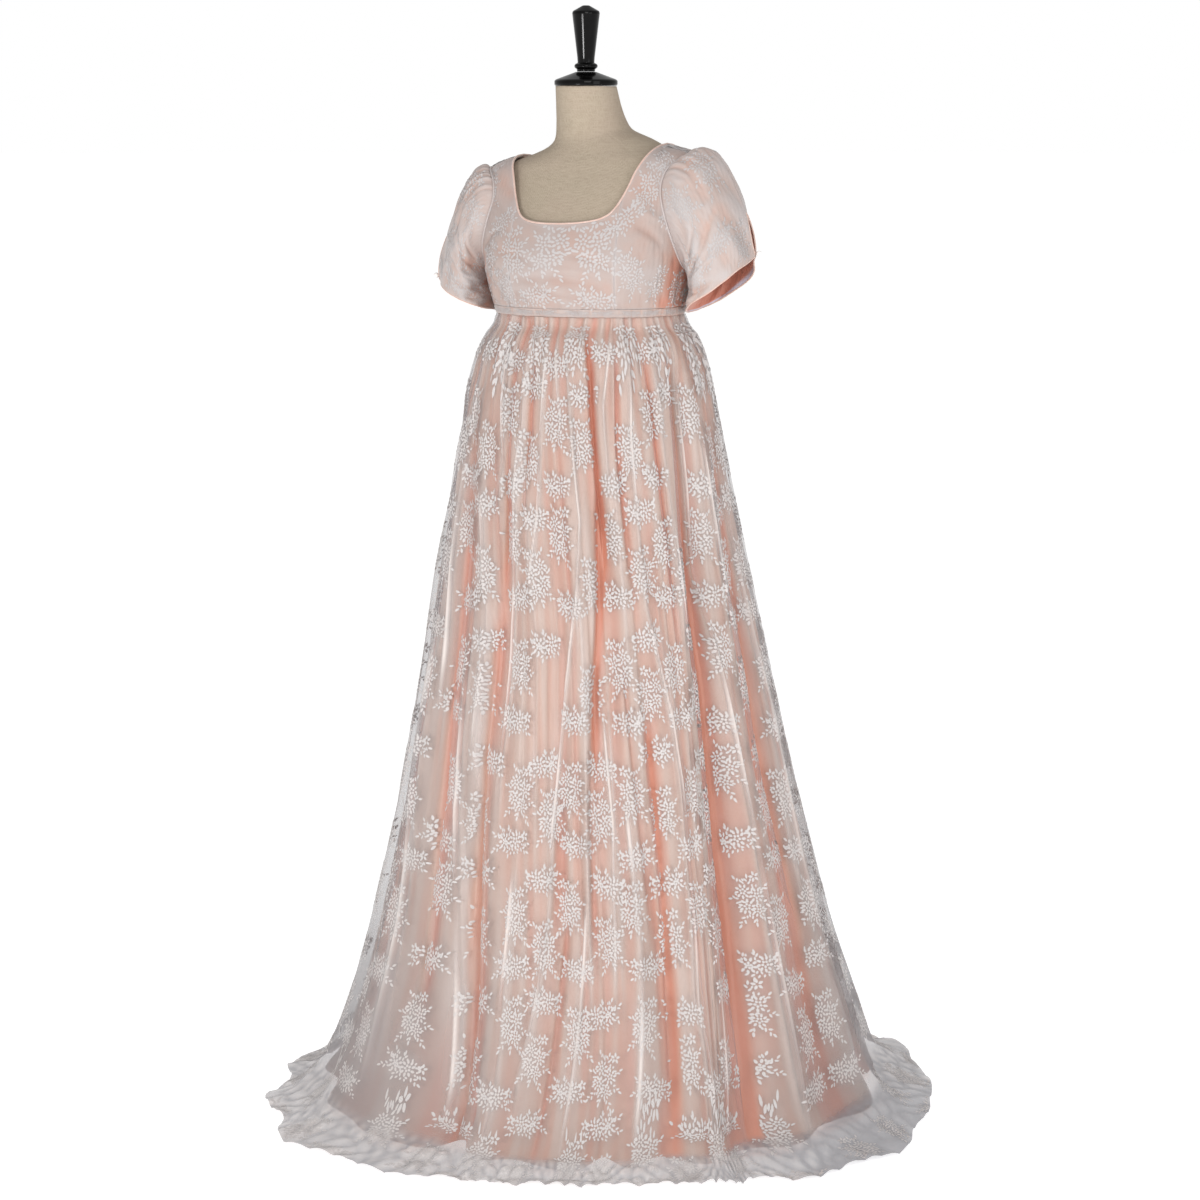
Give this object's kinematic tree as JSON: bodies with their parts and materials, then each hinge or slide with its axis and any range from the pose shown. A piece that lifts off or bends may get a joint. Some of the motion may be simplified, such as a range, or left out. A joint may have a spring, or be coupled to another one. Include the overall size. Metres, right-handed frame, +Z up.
{
  "type": "regency gown on dress form",
  "caption": "High-waisted short-sleeved satin gown with a floral lace overskirt, standing on a limbless dress form.",
  "frame": {"origin": "middle of the underside of the stand's base, on the floor", "axes": "+Z up; the wearer faces -Y; +X to the wearer's left"},
  "size_m": [0.9815, 1.013, 1.594],
  "materials": {
    "lace_over_satin": "white floral lace laid over peach satin",
    "satin": "peach satin with a soft sheen",
    "lace": "sheer white net with floral embroidery",
    "pearl": "pearl",
    "linen": "fine beige linen, stretched smooth",
    "black_lacquer": "polished black",
    "stand_metal": "black paint"
  },
  "bodies": {
    "root": {"bodice_front": "lace_over_satin", "bodice_side_front_left": "lace_over_satin", "bodice_side_front_right": "lace_over_satin", "bodice_back_left": "lace_over_satin", "bodice_back_right": "lace_over_satin", "waistband_front": "lace_over_satin", "waistband_back": "lace_over_satin", "satin_skirt_front": "satin", "satin_skirt_back": "satin", "lace_skirt_front": "lace", "lace_skirt_back": "lace", "sleeve_left": "lace_over_satin", "sleeve_right": "lace_over_satin", "button_left": "pearl", "button_right": "pearl", "form_torso": "linen", "neck_cap": "black_lacquer", "cap_handle": "black_lacquer", "stand_pole": "stand_metal", "stand_base": "stand_metal"}
  },
  "joints": []
}
